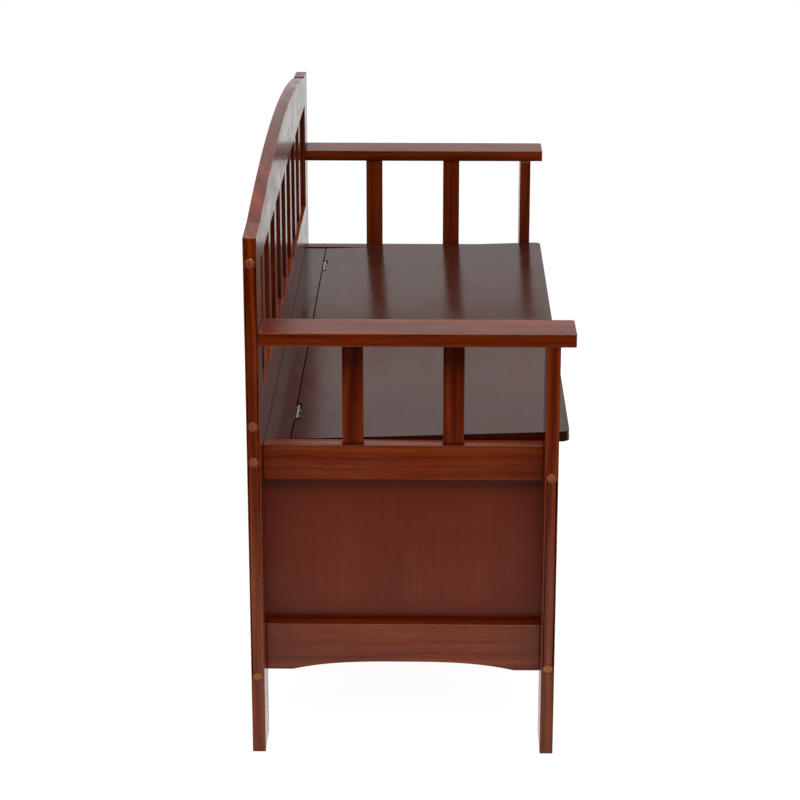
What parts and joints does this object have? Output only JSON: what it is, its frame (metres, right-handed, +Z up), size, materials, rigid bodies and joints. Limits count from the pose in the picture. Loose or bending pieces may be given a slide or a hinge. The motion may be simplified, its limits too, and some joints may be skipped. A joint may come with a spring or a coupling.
{
  "type": "storage bench",
  "caption": "Wooden storage bench with a slatted back under an arched crest rail, slatted arms, a panelled box and a hinged seat lid.",
  "frame": {"origin": "on the floor under the middle of the bench, midway between the two ends and between the rear of the posts and the tips of the arms", "axes": "+X along the bench's length, -Y towards the front where the sitter's legs are, +Z up"},
  "size_m": [1.27, 0.457, 0.813],
  "materials": {
    "stained_wood": "dark red-brown stain under satin lacquer",
    "stained_panel": "dark red-brown stained thin panel, satin",
    "seat_wood": "dark red-brown stain under satin-gloss lacquer",
    "plug_wood": "lighter orange-brown end grain, satin",
    "hinge_steel": "dull nickel plated",
    "zinc_steel": "zinc plated",
    "pad_rubber": "matt black"
  },
  "bodies": {
    "frame": {"back_post_left": "stained_wood", "back_post_right": "stained_wood", "front_leg_left": "stained_wood", "front_leg_right": "stained_wood", "crest_rail": "stained_wood", "back_lower_rail": "stained_wood", "back_slat_1": "stained_wood", "back_slat_2": "stained_wood", "back_slat_3": "stained_wood", "back_slat_4": "stained_wood", "back_slat_5": "stained_wood", "back_slat_6": "stained_wood", "back_slat_7": "stained_wood", "back_slat_8": "stained_wood", "arm_left": "stained_wood", "arm_right": "stained_wood", "arm_slat_left_1": "stained_wood", "arm_slat_left_2": "stained_wood", "arm_slat_right_1": "stained_wood", "arm_slat_right_2": "stained_wood", "side_top_rail_left": "stained_wood", "side_top_rail_right": "stained_wood", "side_bottom_rail_left": "stained_wood", "side_bottom_rail_right": "stained_wood", "side_panel_left": "stained_panel", "side_panel_right": "stained_panel", "front_top_rail": "stained_wood", "front_bottom_rail": "stained_wood", "front_panel": "stained_panel", "rear_bottom_rail": "stained_wood", "rear_panel": "stained_panel", "box_floor": "stained_panel", "floor_cleat_front": "stained_wood", "floor_cleat_rear": "stained_wood", "floor_cleat_left": "stained_wood", "floor_cleat_right": "stained_wood", "seat_board": "seat_wood", "seat_board_cleat": "stained_wood", "hinge_fixed_leaf_left": "hinge_steel", "hinge_fixed_leaf_right": "hinge_steel", "hinge_pin_left": "hinge_steel", "hinge_pin_right": "hinge_steel", "hinge_board_screws": "zinc_steel", "lid_pads": "pad_rubber", "leg_plugs_left": "plug_wood", "leg_plugs_right": "plug_wood", "frame_bolts_left": "zinc_steel", "frame_bolts_right": "zinc_steel", "barrel_nuts_left": "zinc_steel", "barrel_nuts_right": "zinc_steel"},
    "lid": {"seat_lid": "seat_wood", "hinge_lid_leaf_left": "hinge_steel", "hinge_lid_leaf_right": "hinge_steel", "hinge_lid_screws": "zinc_steel"}
  },
  "joints": [
    {"name": "lid_hinge", "type": "hinge", "parent": "frame", "child": "lid", "pos_m": [0, 0.1695, 0.45], "axis": [-1, 0, 0], "range_deg": [0, 93]}
  ]
}
